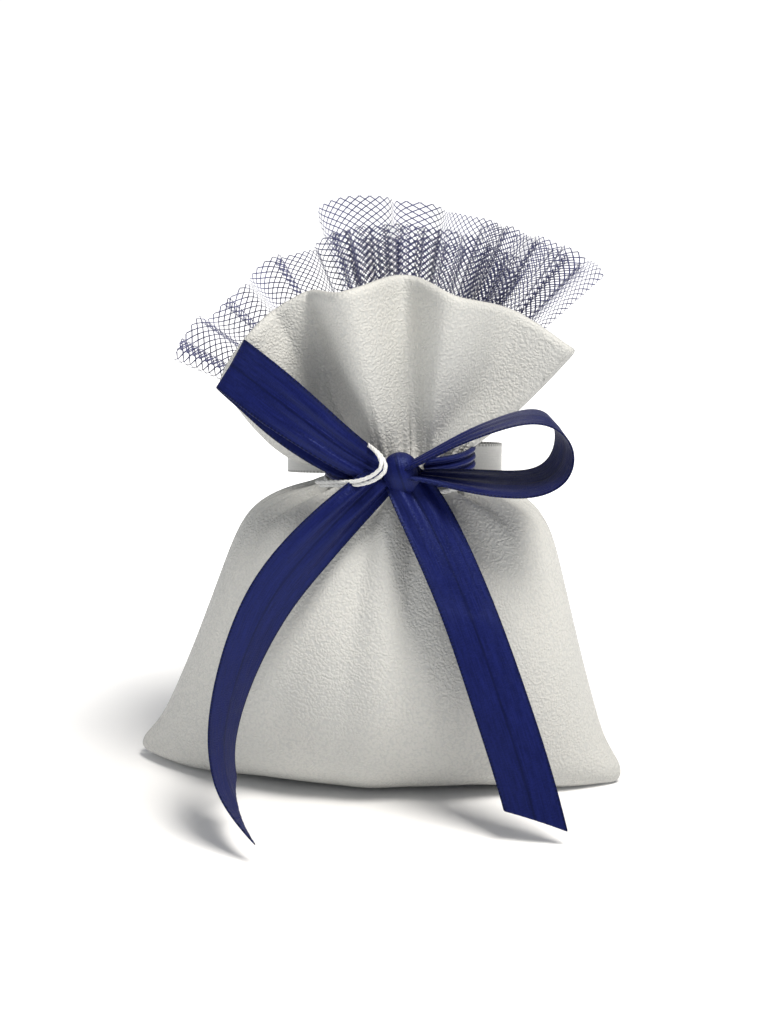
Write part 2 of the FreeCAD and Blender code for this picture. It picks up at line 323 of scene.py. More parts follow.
def add_bump(nodes, links, shader, height, distance, strength=1.0):
    """Feeds a height to the shader's normal."""
    bump = nodes.new("ShaderNodeBump")
    bump.inputs["Distance"].default_value = distance
    bump.inputs["Strength"].default_value = strength
    links.new(height, bump.inputs["Height"])
    links.new(bump.outputs["Normal"], shader.inputs["Normal"])


# %% [markdown]
# The bag is ivory crepe: its yarns are twisted hard, so the cloth shrinks into tiny pebbles. At this
# size the pebbles are too small to model, so they are bump, painted shade that darkens the creases
# and a slight change of roughness.


# %% Crepe
def make_crepe():
    """Ivory pebbled crepe with a faint pearl sheen."""
    material, nodes, links, shader = new_finish("ivory_crepe", 0.5, sheen=0.0, specular=0.4)
    where = nodes.new("ShaderNodeTexCoord").outputs["Object"]
    grain = nodes.new("ShaderNodeGroup")
    grain.node_tree = PEBBLE
    grain.inputs["Size"].default_value = 2000.0
    links.new(where, grain.inputs["Vector"])
    patches = ramp(nodes, links, noise(nodes, links, where, 55.0, 3.0), 0.35, 0.7)
    tone = blend_colours(nodes, links, patches, (0.56, 0.56, 0.535), (0.59, 0.585, 0.555))
    # Painted shade: the creases between the pebbles are given a darker colour.
    colour = blend_colours(nodes, links, grain.outputs["Pebble Shade"], tone, (0.515, 0.518, 0.50))
    links.new(colour, shader.inputs["Base Color"])
    links.new(ramp(nodes, links, grain.outputs["Height"], 0.2, 1.2, 0.62, 0.42), shader.inputs["Roughness"])
    add_bump(nodes, links, shader, grain.outputs["Height"], 0.00012, 0.8)
    return material


CREPE = make_crepe()


# %% [markdown]
# Satin shines because its threads float along the surface, so it is given some anisotropy, and painted
# sheen: faint streaks along its length and speckles of the weave, painted into its colour. The woven
# edges are darker loops. The crease of a ribbon kept folded is given a dark line of painted shade.


# %% Satin, in navy and white
def make_satin(name, dark, light, roughness, half_width, shaded_crease, specular=0.5, tint=(1.0, 1.0, 1.0)):
    """Woven satin: colour with painted sheen streaks and speckles, woven edges and, on the bow's ribbon,
    painted shade along a pressed crease.
    """
    material, nodes, links, shader = new_finish(name, roughness, specular=specular)
    shader.inputs["Specular Tint"].default_value = (*tint, 1.0)
    shader.inputs["Anisotropic"].default_value = 0.5
    where = nodes.new("ShaderNodeUVMap")
    where.uv_map = "cloth"
    woven = nodes.new("ShaderNodeGroup")
    woven.node_tree = WEAVE
    woven.inputs["Half Width"].default_value = half_width
    links.new(where.outputs["UV"], woven.inputs["Vector"])
    # The thread height lightens and darkens the colour: painted highlights of the weave, added to the painted
    # sheen streaks.
    speckle_highlight = ramp(nodes, links, woven.outputs["Height"], 0.75, 1.25, -0.25, 0.25)
    mix = math_node(nodes, links, "ADD", woven.outputs["Streaks"], speckle_highlight, clamp=True)
    tone = blend_colours(nodes, links, mix, dark, light)
    edged = blend_colours(nodes, links, woven.outputs["Selvedge"], tone, [c * 0.55 for c in dark])
    # Painted shade: a dark line along the pressed crease.
    if shaded_crease:
        edged = blend_colours(nodes, links, math_node(nodes, links, "MULTIPLY", woven.outputs["Crease Shade"], 0.6),
                              edged, [c * 0.35 for c in dark])
    links.new(edged, shader.inputs["Base Color"])
    rough = ramp(nodes, links, woven.outputs["Height"], 0.6, 1.4, roughness - 0.07, roughness + 0.1)
    links.new(math_node(nodes, links, "MAXIMUM", rough, math_node(
        nodes, links, "MULTIPLY", woven.outputs["Selvedge"], 0.6)), shader.inputs["Roughness"])
    add_bump(nodes, links, shader, woven.outputs["Height"], 0.00009, 0.8)
    return material


NAVY_SATIN = make_satin("navy_satin", (0.0032, 0.0048, 0.038), (0.0085, 0.0125, 0.095), 0.38,
                        RIBBON_WIDTH / 2, True, specular=0.3, tint=(0.35, 0.45, 1.0))
WHITE_SATIN = make_satin("white_satin", (0.74, 0.74, 0.72), (0.82, 0.82, 0.80), 0.38, TAPE_WIDTH / 2, False)


# %% [markdown]
# Thread, cord, net and sugar only need two close tones and a fine grain, so one helper makes them all.


# %% Thread, cord, net and sugar
def make_plain(name, first, second, roughness, grain, depth, sheen=0.0, coat=0.0):
    """A finish with a two-tone fine grain, for thread, cord, net and sugar."""
    material, nodes, links, shader = new_finish(name, roughness, sheen=sheen, coat=coat)
    where = nodes.new("ShaderNodeTexCoord").outputs["Object"]
    fine = noise(nodes, links, where, grain, 3.0, 0.6)
    links.new(blend_colours(nodes, links, ramp(nodes, links, fine, 0.3, 0.7), first, second),
              shader.inputs["Base Color"])
    rough = ramp(nodes, links, fine, 0.2, 0.8, roughness - 0.08, roughness + 0.1)
    links.new(rough, shader.inputs["Roughness"])
    add_bump(nodes, links, shader, fine, depth, 0.6)
    return material


WHITE_CORD = make_plain("white_cord", (0.66, 0.66, 0.64), (0.78, 0.78, 0.76), 0.5, 6000.0, 0.00004, sheen=0.3)
WHITE_THREAD = make_plain("white_thread", (0.66, 0.66, 0.63), (0.78, 0.77, 0.74), 0.6, 8000.0, 0.00003)
NAVY_NET = make_plain("navy_net", (0.045, 0.05, 0.13), (0.10, 0.105, 0.22), 0.5, 3000.0, 0.00002, sheen=0.2)
NAVY_THREAD = make_plain("navy_thread", (0.01, 0.014, 0.06), (0.03, 0.035, 0.1), 0.55, 8000.0, 0.00003)
SUGAR = make_plain("sugar_shell", (0.80, 0.78, 0.73), (0.88, 0.86, 0.82), 0.4, 900.0, 0.00004, coat=0.3)
print("finishes:", len(bpy.data.materials))

# %% [markdown]
# ## The bag
# Each panel is one piece of crepe from the bottom seam over the belly, through the gathered neck and up
# to the collar's folded edge. A few rows give its height, width and depth, and a fan gives the collar.
# A row is worked out across the cloth as part of an oval, so the panels meet at the side seams.

# %% Profile of the bag
# height, half width, half depth and how far the rim stands off the seam, in millimetres
BODY_ROWS = (
    (0.0, 38.5, 0.0, 0.0), (0.0, 40.2, 3.5, 0.2), (0.0, 42.4, 7.0, 0.3), (0.3, 44.4, 10.2, 0.2),
    (2.4, 45.0, 14.0, 0.1), (6.6, 41.4, 17.4, 0.1), (13.0, 39.0, 19.2, 0.0), (21.0, 36.2, 20.0, 0.0),
    (30.0, 33.4, 19.0, 0.0), (38.5, 30.8, 16.6, 0.0), (45.5, 28.6, 14.2, 0.0), (50.4, 25.8, 12.2, 0.0),
    (53.6, 19.8, 10.2, 0.0), (55.0, 13.2, 8.2, 0.0), (57.4, 10.0, 7.2, 0.0),
)
COLLAR_SHARES = (0.0, 0.08, 0.2, 0.35, 0.5, 0.7, 0.9, 1.0)
ROW_COUNT = len(BODY_ROWS) + len(COLLAR_SHARES)
FRONT, BACK = -1, 1
# the collar's edge from its left seam to its right seam, then how far it hangs below a straight line
EDGE_X = (-28.0, -26.4, -22.0, -15.4, -8.0, 0.0, 8.0, 15.5, 23.2, 30.4, 34.6)
EDGE_Z = {FRONT: (73.5, 78.0, 83.6, 88.4, 91.8, 93.6, 93.4, 91.0, 87.2, 82.8, 79.6),
          BACK: (73.5, 76.2, 79.0, 81.0, 82.2, 82.8, 83.0, 82.8, 82.2, 81.0, 79.6)}
EDGE_SAG = (6.5, 6.5, 4.5, 2.0, 0.4, 0.0, 0.0, 0.4, 1.0, 1.6, 1.6)
# how far its folds stand forward, from the left seam to the right seam
FOLDS = {FRONT: (0.0, 0.8, 2.4, 1.6, -4.0, -7.4, -7.0, 5.2, 6.0, 1.8, -6.2, -1.8, 6.0, 5.4, 1.2, -3.6, -1.8,
                 0.6, 0.0),
         BACK: (0.0, 0.8, 2.4, -1.0, -3.4, 0.6, 3.2, 1.2, -3.2, -2.0, 2.6, 3.4, -0.6, -3.6, 0.4, 2.6, 0.6,
                -0.4, 0.0)}
COLLAR_LEAN = {FRONT: 0.6, BACK: 15.0}


def body_row(side, u, z, half_width, half_depth, rim):
    """One row of the belly across the cloth, u from -1 at the left seam to 1 at the right seam."""
    turn = math.pi * u / 2
    low = max(1 - z / 30, 0.0) ** 2
    x = NECK_X * min(z * MM / NECK_Z, 1.0) + half_width * MM * np.sin(turn)
    y = SEAM_GAP + rim * MM + half_depth * MM * np.maximum(np.cos(turn), 0.0) ** (0.9 + 0.5 * low)
    ears = -5.0 * MM * low * np.sin(turn) * np.abs(np.sin(turn))
    lift = 0.9 * MM * low * np.clip(-u, 0, 1) ** 4 + 0.4 * MM * low * (1 - np.cos(11 * u)) * (1 - u * u)
    return np.stack([x, side * y + ears, z * MM + lift], axis=1)


def collar_row(side, u, share):
    """One row of the collar at this share of its length above the tie."""
    turn = math.pi * u / 2
    middle = np.maximum(np.cos(turn), 0.0)
    across = (u + 1) / 2
    start_x = NECK_X + NECK_HALF_WIDTH * np.sin(turn)
    sag = smooth(EDGE_SAG, across) * MM * 4 * share * (1 - share)
    x = start_x + (smooth(EDGE_X, across) * MM - start_x) * share
    z = NECK_Z + (smooth(EDGE_Z[side], across) * MM - NECK_Z) * share - sag
    y = SEAM_GAP + NECK_HALF_DEPTH * middle + COLLAR_LEAN[side] * MM * share * middle
    y = y + smooth(FOLDS[side], across) * MM * share ** 0.7
    return np.stack([x, side * np.maximum(y, SEAM_GAP), z], axis=1)


def panel_surface(side, u, v):
    """Points of a panel: u across, v from 0 at the bottom seam to 1 at the collar's edge."""
    rows = [body_row(side, u, *row) for row in BODY_ROWS]
    rows += [collar_row(side, u, share) for share in COLLAR_SHARES]
    return np.einsum("pr,rpc->pc", weights(ROW_COUNT, v), np.stack(rows))


# %% [markdown]
# The gathers are narrow ridges that run up and down from the tie and fade out, each with its own place,
# width, depth and reach. They are pushed out along the cloth's normal. Long soft folds run further.

# %% Gathers
NECK_V = (len(BODY_ROWS) - 1.5) / (ROW_COUNT - 3)


def make_gathers(seed, count, widest, deepest, reach_down, reach_up):
    """Random gathers: place, width, depth, reach below and above the tie."""
    rng = random.Random(seed)
    gathers = []
    for k in range(count):
        place = -1.0 + 2.0 * (k + rng.uniform(0.15, 0.85)) / count
        gathers.append((place, widest * rng.uniform(0.5, 1.0), deepest * rng.uniform(0.4, 1.0),
                        reach_down * rng.uniform(0.4, 1.4), reach_up * rng.uniform(0.4, 1.3)))
    return gathers


def gather_height(gathers, u, v):
    """How far the gathers push the cloth out, in metres."""
    height = np.zeros_like(u)
    below = np.maximum(NECK_V - v, 0.0)
    above = np.maximum(v - NECK_V, 0.0)
    for place, width, depth, down, up in gathers:
        fade = np.exp(-(below / down) ** 1.6 - (above / up) ** 1.6)
        height += depth * MM * fade * np.exp(-((u - place) / width) ** 2)
    return height


# %% [markdown]
# The front's own folds are given one by one, because they are seen, and the back's are left to chance. The
# flat cut's last part is the hem, which turns inwards round a small roll at the collar's edge.

# %% Laying a panel
# named folds of the front: place across, width, depth in millimetres, reach down and up
FRONT_PLEATS = (
    (-0.02, 0.05, 1.5, 0.32, 0.05), (0.08, 0.04, -1.6, 0.30, 0.05), (0.19, 0.06, 1.7, 0.26, 0.05),
    (-0.11, 0.04, -1.5, 0.26, 0.05), (-0.22, 0.06, 1.5, 0.24, 0.06), (-0.36, 0.07, -1.7, 0.28, 0.05),
    (0.33, 0.05, -1.6, 0.20, 0.05), (0.47, 0.06, 1.5, 0.18, 0.05), (0.60, 0.06, -2.2, 0.15, 0.05),
    (0.74, 0.05, 1.3, 0.15, 0.04), (-0.54, 0.06, 1.5, 0.18, 0.05), (-0.68, 0.05, -1.6, 0.18, 0.05),
    (-0.86, 0.03, 0.8, 0.17, 0.06), (-0.78, 0.025, 0.9, 0.15, 0.05),
)
HEM, HEM_TURN = 6.0 * MM, 0.6 * MM


def panel_place(side, width, length):
    """Place function for a panel's flat cut, whose last part is the hem, turned in at the collar's edge."""
    tight = make_gathers(11 + side, 19, 0.045, 1.25, 0.05, 0.17)
    soft = make_gathers(31 + side, 7, 0.10, 0.9, 0.2, 0.22) if side == BACK else FRONT_PLEATS
    small = 0.004

    def place(x, y):
        u = np.clip(2 * x / width, -1, 1)
        past = np.maximum(y - (length - HEM), 0.0)
        back = np.maximum(past - math.pi * HEM_TURN, 0.0)
        turn = np.minimum(past / HEM_TURN, math.pi)
        v = np.clip((np.minimum(y, length - HEM) - back) / (length - HEM), 0, 1)
        points = panel_surface(side, u, v)
        left, right = np.maximum(u - small, -1), np.minimum(u + small, 1)
        below, above = np.maximum(v - small, 0), np.minimum(v + small, 1)
        across = panel_surface(side, right, v) - panel_surface(side, left, v)
        up = panel_surface(side, u, above) - panel_surface(side, u, below)
        normal = np.cross(across, up) * -side
        normal /= np.linalg.norm(normal, axis=1)[:, None]
        up /= np.linalg.norm(up, axis=1)[:, None]
        height = gather_height(tight, u, v) + gather_height(soft, u, v)
        height *= np.clip((1 - np.abs(u)) / 0.03, 0, 1)
        height -= HEM_TURN * (1 - np.cos(turn))
        return points + normal * height[:, None] + up * (HEM_TURN * np.sin(turn))[:, None]

    return place


# %% Make the two panels
PANEL_FLAT = (95 * MM, 121 * MM)


def make_panel(name, side, hem_node):
    """A crepe panel with its hem turned in."""
    bm = flat_cloth(*PANEL_FLAT, 180, 250)
    lay(bm, panel_place(side, *PANEL_FLAT))
    if side == FRONT:
        bmesh.ops.reverse_faces(bm, faces=bm.faces)
    made = finished(name + "_cloth", bm, CREPE, "pouch", [name, hem_node])
    thicken(made, CLOTH)


make_panel("front_panel", FRONT, "front_collar_hem")
make_panel("back_panel", BACK, "back_collar_hem")

# %% [markdown]
# The panels are sewn together down both sides. Small slanted stitches of white thread cross the seam.
# One stitch is a short round thread, and copies of it are set along the seam, a few faces each.


# %% Side stitches
def side_stitches(name, u, seam_node):
    """Stitches along one side seam, from the bottom corner up to the shoulder."""
    heights = np.linspace(0.16, NECK_V - 0.10, 30)
    ends = np.full_like(heights, u)
    front, back = panel_surface(FRONT, ends, heights), panel_surface(BACK, ends, heights)
    seam = (front + back) / 2
    bm = bmesh.new()
    for k in range(1, len(seam) - 1):
        along = Vector(seam[k + 1] - seam[k - 1]).normalized()
        across = (Vector((0.0, 1.0, 0.0)) + along * 0.5).normalized()
        out = Vector((u, 0.0, 0.0))
        turn = across.to_track_quat("Z", "Y").to_matrix().to_4x4()
        turn.translation = Vector(seam[k]) + out * 0.12 * MM
        made = bmesh.ops.create_uvsphere(bm, u_segments=8, v_segments=6, radius=0.16 * MM)
        bmesh.ops.scale(bm, vec=(1.0, 1.0, 5.0), verts=made["verts"])
        bmesh.ops.transform(bm, matrix=turn, verts=made["verts"])
    return finished(name, bm, WHITE_THREAD, "pouch", [seam_node])


side_stitches("left_side_stitches", -1.0, "left_side_stitching")
side_stitches("right_side_stitches", 1.0, "right_side_stitching")

# %% [markdown]
# ## Ribbon
# Every stretch of ribbon is a flat band laid along a line. Each station gives the middle of the band,
# the direction across it and its width there, and the band runs smoothly through them. Where the band
# is squeezed narrower than its cut, near the knot, it is pleated lengthwise. At a fullness of 1 the
# pleats take up all the width that is lost; less looks smoother.


# %% Band helper
def band_place(stations, width, length, crease=0.0, pleats=2.5, fullness=1.0, curl=0.0):
    """Place function for a band's flat cut. Stations are (middle, across, width) in millimetres; with a
    curl, in radians, the band's edges are rolled back behind it by that turn instead."""
    middles = np.array([middle for middle, across, wide in stations], float) * MM
    acrosses = np.array([across for middle, across, wide in stations], float)
    wides = np.array([wide for middle, across, wide in stations], float) * MM

    def place(x, y):
        t = y / length
        w = weights(len(stations), t)
        w_next, w_last = weights(len(stations), t + 0.004), weights(len(stations), t - 0.004)
        across = w @ acrosses
        across /= np.linalg.norm(across, axis=1)[:, None]
        along = (w_next - w_last) @ middles
        normal = np.cross(across, along)
        normal /= np.linalg.norm(normal, axis=1)[:, None]
        wide = np.minimum(w @ wides, width)
        depth = fullness * wide / (math.pi * pleats) * np.sqrt(width / wide - 1)
        share = 2 * x / width
        lift = crease * np.abs(share) + depth * np.cos(pleats * math.pi * share + 0.6)
        aside = share * wide / 2
        if curl:
            aside, lift = x * np.sinc(share * curl / math.pi), width / 2 / curl * (np.cos(share * curl) - 1)
        return w @ middles + across * aside[:, None] + normal * lift[:, None]

    return place


def make_band(name, stations, length, material, body, width=RIBBON_WIDTH,
              crease=0.0, pleats=2.5, fullness=1.0, curl=0.0, trim=None):
    """A band of ribbon or tape as one finished piece."""
    bm = flat_cloth(width, length, 24, max(int(length / (0.6 * MM)), 24))
    if trim:
        trim(bm)
    lay(bm, band_place(stations, width, length, crease, pleats, fullness, curl))
    made = finished(name + "_cloth", bm, material, body, [name])
    thicken(made, RIBBON_THICKNESS, levels=1)


# %% [markdown]
# The left loop is pressed nearly flat and faces forwards. Its front layer runs out to the fold, and its
# back layer returns a little lower, so its edge shows as a dark line under the front one.

# %% Left loop
LOOP_ACROSS = (0.50, 0.12, 0.85)
LEFT_LOOP = (
    (0.6, -14.2, 61.8, 5.5), (-3.5, -15.4, 64.4, 6.8), (-8.0, -15.6, 67.8, 8.0), (-13.0, -14.8, 71.5, 9.2),
    (-17.6, -13.4, 74.6, 10.0), (-21.6, -12.0, 77.4, 10.0), (-24.6, -11.2, 79.5, 10.0),
    (-25.5, -9.8, 79.7, 10.0), (-24.6, -8.6, 78.2, 10.0), (-21.4, -8.8, 75.4, 10.0),
    (-17.0, -10.2, 71.6, 10.0), (-12.4, -11.8, 68.4, 9.5), (-7.4, -13.2, 64.9, 8.2), (-3.0, -14.0, 62.2, 6.4),
    (0.6, -13.6, 60.8, 5.0),
)
make_band("left_loop", [((x, y, z), LOOP_ACROSS, wide) for x, y, z, wide in LEFT_LOOP],
          63 * MM, NAVY_SATIN, "left_bow_loop", crease=0.2 * MM, pleats=3.5, fullness=0.6)

# %% [markdown]
# The right loop stands open. Its ribbon's width runs from front to back, so it is seen from above as a
# band whose inside shows. Its front edge swings out wider than its back edge.

# %% Right loop
RIGHT_LOOP = ((5.4, 62.4, 4.6, 0.05, 0.0), (8.5, 64.0, 5.4, 0.05, 0.0), (13.0, 66.6, 7.6, 0.05, 0.0),
              (17.6, 69.0, 9.6, 0.05, 0.0), (22.6, 71.0, 10.0, 0.05, 0.0), (27.6, 72.4, 10.0, 0.0, 0.0),
              (31.6, 71.2, 10.0, -0.15, 0.0), (33.8, 67.2, 10.0, -0.35, 0.05), (32.8, 62.2, 10.0, -0.35, 0.2),
              (29.0, 59.6, 10.0, -0.1, 0.25), (24.4, 59.2, 10.0, 0.0, 0.22), (19.0, 59.6, 9.6, 0.0, 0.2),
              (14.0, 60.2, 8.0, 0.0, 0.15), (9.5, 60.7, 5.8, 0.0, 0.1), (5.4, 61.0, 4.6, 0.0, 0.0))
make_band("right_loop", [((x, -14.2, z), (tilt, 1.0, drop), wide) for x, z, wide, tilt, drop in RIGHT_LOOP],
          70 * MM, NAVY_SATIN, "right_bow_loop", crease=0.2 * MM, pleats=3.5, fullness=0.6)

# %% [markdown]
# The tails hang in front of the bag. A tail turns about its own length on its way down: the left one
# ends nearly edge on. Both keep the lengthwise crease of a ribbon that was folded on its card.

# %% Tails
LEFT_TAIL = (
    (3.0, -13.8, 61.4, 5.0, 10.0), (-0.2, -15.4, 58.8, 7.0, 25.0), (-5.3, -17.4, 54.4, 9.0, 30.0),
    (-11.7, -20.0, 48.1, 10.0, 26.0), (-17.3, -22.5, 41.6, 10.0, 28.0), (-21.4, -25.0, 33.6, 10.0, 42.0),
    (-24.2, -27.4, 25.6, 10.0, 54.0), (-25.6, -29.6, 19.0, 10.0, 63.0), (-25.8, -31.8, 12.6, 10.0, 74.0),
    (-23.4, -35.2, 6.4, 10.0, 83.0), (-17.0, -39.6, 1.4, 10.0, 90.0),
)
RIGHT_TAIL = (
    (4.4, -13.8, 61.4, 6.6, 20.0), (7.4, -15.8, 57.8, 9.0, 25.0), (11.0, -18.6, 51.6, 10.0, 26.0),
    (15.7, -22.0, 42.0, 10.0, 24.0), (19.6, -25.0, 32.2, 10.0, 18.0), (23.0, -28.0, 22.6, 10.0, 10.0),
    (26.2, -30.6, 13.6, 10.0, 4.0), (28.5, -32.8, 6.0, 10.0, 0.0), (29.8, -34.4, 1.2, 10.0, 0.0),
)


def tail_stations(route):
    """Stations of a hanging tail from (x, y, z, width, turn about its own length in degrees)."""
    points = [Vector(step[:3]) for step in route]
    stations = []
    for k, point in enumerate(points):
        along = (points[min(k + 1, len(points) - 1)] - points[max(k - 1, 0)]).normalized()
        flat = Vector((0.0, -1.0, 0.15)).cross(along).normalized()
        turn = -math.radians(route[k][4])
        across = flat * math.cos(turn) + along.cross(flat) * math.sin(turn)
        stations.append((point, across, route[k][3]))
    return stations


def slant_cut(rise):
    """Trims the far end of a band on the slant, rising by this much across it."""
    def trim(bm):
        top = max(vert.co.y for vert in bm.verts)
        normal = Vector((rise, RIBBON_WIDTH, 0.0)).normalized()
        everything = bm.verts[:] + bm.edges[:] + bm.faces[:]
        bmesh.ops.bisect_plane(bm, geom=everything, dist=1e-7, plane_co=(0.0, top - abs(rise) / 2, 0.0),
                               plane_no=normal, clear_outer=True)
    return trim


make_band("left_tail", tail_stations(LEFT_TAIL), 82 * MM, NAVY_SATIN, "left_ribbon_tail",
          crease=0.35 * MM, trim=slant_cut(9 * MM))
make_band("right_tail", tail_stations(RIGHT_TAIL), 69 * MM, NAVY_SATIN, "right_ribbon_tail",
          crease=0.4 * MM, trim=slant_cut(-5 * MM))

# %% [markdown]
# The knot is the same ribbon, going over the crossing and down behind it, with both of its edges
# rolled back out of sight. The turn round the neck is squeezed narrow, so it has more pleats.


# %% Knot and the turn round the neck
def ring_stations(centre, half_x, half_y, from_turn, to_turn, count, across, wide):
    """Stations round an oval in the horizontal plane, turns in degrees."""
    stations = []
    for k in range(count):
        turn = math.radians(from_turn + (to_turn - from_turn) * k / (count - 1))
        middle = (centre[0] + half_x * math.cos(turn), centre[1] + half_y * math.sin(turn), centre[2])
        stations.append((middle, across, wide))
    return stations


make_band("ribbon_neck_wrap", ring_stations((NECK_X / MM, 0.0, NECK_Z / MM), 13.4, 10.8, -70.0, 250.0, 17,
                                            (0.0, 0.0, 1.0), 5.4),
          72 * MM, NAVY_SATIN, "pouch", pleats=3.5)

knot_low, knot_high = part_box("ribbon_knot")
KNOT = [(a + b) / 2 / MM for a, b in zip(knot_low, knot_high)]
knot_stations = []
for k in range(17):
    turn = math.radians(170.0 + 395.0 * k / 16)
    middle = (KNOT[0] + 0.9 - 1.2 * math.sin(turn), KNOT[1] + 0.2 - 2.9 * math.cos(turn), KNOT[2] + 0.6
              + 3.8 * math.sin(turn))
    knot_stations.append((middle, (1.0, 0.05, 0.3), 6.0))
make_band("ribbon_knot", knot_stations, 22.5 * MM, NAVY_SATIN, "pouch", curl=math.radians(95.0))

# %% [markdown]
# ## White tape
# The bag's own flat tape is tied in a small flat bow behind the neck. It is the same kind of band.

# %% Tape bow
tape_low, tape_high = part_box("tape_left_loop")
TAPE_Z = (tape_low.z + tape_high.z) / 2 / MM


def tape_stations(x_sign, reach):
    """Out and back behind the neck, pressed flat."""
    out_and_back = ((0.0, 12.6), (0.2, 12.4), (0.5, 12.5), (0.8, 12.4), (1.0, 12.7), (1.04, 13.3),
                    (1.0, 13.9), (0.8, 14.3), (0.5, 14.2), (0.2, 14.1), (0.0, 13.6))
    return [((NECK_X / MM + x_sign * (0.6 + reach * share), y, TAPE_Z), (0.0, 0.0, 1.0), 6.0)
            for share, y in out_and_back]


for name, x_sign, reach in (("tape_left_loop", -1, 20.2), ("tape_right_loop", 1, 17.2)):
    make_band(name, tape_stations(x_sign, reach), 2 * (reach + 1) * MM, WHITE_SATIN, "pouch",
              width=TAPE_WIDTH)
tape_knot_stations = []
for k in range(9):
    turn = math.radians(20.0 + 330.0 * k / 8)
    tape_knot_stations.append(((NECK_X / MM, 13.2 + 1.5 * math.cos(turn), TAPE_Z + 3.2 * math.sin(turn)),
                               (1.0, 0.0, 0.0), 5.2))
make_band("tape_knot", tape_knot_stations, 14 * MM, WHITE_SATIN, "pouch", width=TAPE_WIDTH)

# %% [markdown]
# ## Net
# Net is holes with thread round them, so it is modelled that way: a grid of diamonds, each one inset by
# half a thread, and the inner faces taken out. Whole diamonds are left at the cut edges, which gives
# the sawtooth edge of cut net. The flat net is then pleated into a fan.

# %% Net cloth
MESH_WIDE, MESH_TALL, NET_THREAD = 0.92 * MM, 1.26 * MM, 0.15 * MM


def net_cloth(width, length):
    """Flat diamond net, open between its threads."""
    side = MESH_WIDE / math.sqrt(2)
    count = int((width / MESH_WIDE + length / MESH_TALL) * 1.05) + 2
    bm = bmesh.new()
    bmesh.ops.create_grid(bm, x_segments=count, y_segments=count, size=count * side / 2)
    bmesh.ops.rotate(bm, cent=(0, 0, 0), matrix=Matrix.Rotation(math.radians(45.0), 3, "Z"), verts=bm.verts)
    bmesh.ops.scale(bm, vec=(1.0, MESH_TALL / MESH_WIDE, 1.0), verts=bm.verts)
    bmesh.ops.translate(bm, vec=(0.0, length / 2, 0.0), verts=bm.verts)
    outside = [f for f in bm.faces if abs(f.calc_center_median().x) > width / 2
               or not 0 < f.calc_center_median().y < length]
    bmesh.ops.delete(bm, geom=outside, context="FACES")
    holes = bm.faces[:]
    bmesh.ops.inset_individual(bm, faces=holes, thickness=NET_THREAD / 2, use_even_offset=True)
    bmesh.ops.delete(bm, geom=holes, context="FACES_ONLY")
    keep_measures(bm)
    return bm


# %% [markdown]
# A frill is a strip of net gathered along one side and fanned out from the neck. In the fuller frills
# the cloth runs forward and back again, so each pleat has three layers. A table of angles says how
# much of the strip goes where, and a table of shares trims its edge.


# %% Frill helper
def frill_place(width, length, angles, reach, depths, waves, doubling, swing, edge, seed):
    """Place function for a frill: pleats that double back, fanned out from the neck."""
    rng = random.Random(seed)
    early, late, tilt = (rng.uniform(-1.5, 1.5) for _ in range(3))

    def place(x, y):
        s, share = np.clip(x / width + 0.5, 0, 1), np.clip(y / length, 0, 1)
        phase = 2 * math.pi * waves * s + 1.1 * np.sin(2 * math.pi * s + early) + 0.8 * np.sin(
            7 * math.pi * s + late)
        doubled = s + doubling / (2 * math.pi * waves) * np.sin(phase) * (0.7 + 0.3 * share)
        angle = np.radians(smooth(angles, np.clip(doubled, 0, 1)))
        radius = (3.5 + (reach - 3.5) * share) * MM * (1 + (smooth(edge, s) - 1) * share)
        depth = (depths[0] + (depths[1] - depths[0]) * share) * MM
        depth = depth + 3.0 * MM * share * np.clip((angle - 0.45) / 0.35, 0, 1)
        depth = depth + swing * MM * share ** 0.7 * (np.cos(phase) + 0.3 * np.cos(2.3 * phase + tilt))
        return np.stack([NECK_X + radius * np.sin(angle), depth, NECK_Z + radius * np.cos(angle)], axis=1)

    return place


# %% [markdown]
# Five frills stand one behind the other, from the tall front one to the left one. Their angles start
# and end with short steps, since an even spline would otherwise stretch the net at its ends.

# %% Frills
FRILLS = (
    # name, node, width, length, angles, reach, depths, waves, doubling, swing, edge
    ("front_frill", "net_frill_front", 60, 46,
     (-20, -18.5, -14, -6, 2, 10, 17, 22, 26, 30, 34, 39, 44, 47, 48.5), 47.0, (0.0, 2.6), 7, 0.9, 1.9,
     (0.97, 1.01, 1.03, 1.01, 0.985, 0.975, 0.97, 0.975, 0.985, 0.99, 1.01, 1.03, 1.05, 1.055, 1.03)),
    ("middle_frill", None, 66, 41, (-15, -14, -11, -7, -2, 2, 6, 10, 15, 20, 25, 30, 33, 35), 42.0,
     (1.5, 4.8), 10, 2.0, 1.8, (1.0, 1.01, 0.99, 1.0, 0.985, 1.0, 0.98, 0.99, 1.0)),
    ("right_frill", None, 50, 44, (18, 19, 21, 24, 27, 29, 31, 34, 37, 40, 43, 45, 46), 45.5,
     (1.5, 5.6), 7, 2.0, 2.0, (0.96, 0.98, 0.99, 1.0, 1.0, 1.02, 1.03, 1.04, 1.02)),
    ("back_frill", "net_frill_back", 64, 38, (-16, -14, -9, -2, 5, 12, 18, 24, 30, 34, 36), 38.5,
     (2.5, 8.4), 9, 1.8, 2.0, (1.0, 1.02, 0.99, 1.01, 1.0, 0.98, 1.0)),
    ("left_frill", "net_frill_left", 60, 43,
     (-68, -66, -62, -57, -52, -47, -42, -37, -32, -27, -22, -18, -15, -13.5), 42.5, (1.5, 4.6), 7, 1.9, 2.0,
     (1.04, 1.06, 1.05, 1.04, 0.98, 0.99, 0.96, 1.0, 1.0, 0.95, 0.93, 1.0, 0.99, 0.97)),
)
for seed, (name, node, wide, tall, angles, reach, depths, waves, doubling, swing, edge) in enumerate(FRILLS):
    bm = net_cloth(wide * MM, tall * MM)
    lay(bm, frill_place(wide * MM, tall * MM, angles, reach, depths, waves, doubling, swing, edge, seed))
    frill = finished(name, bm, NAVY_NET, "pouch", [node] if node else [])
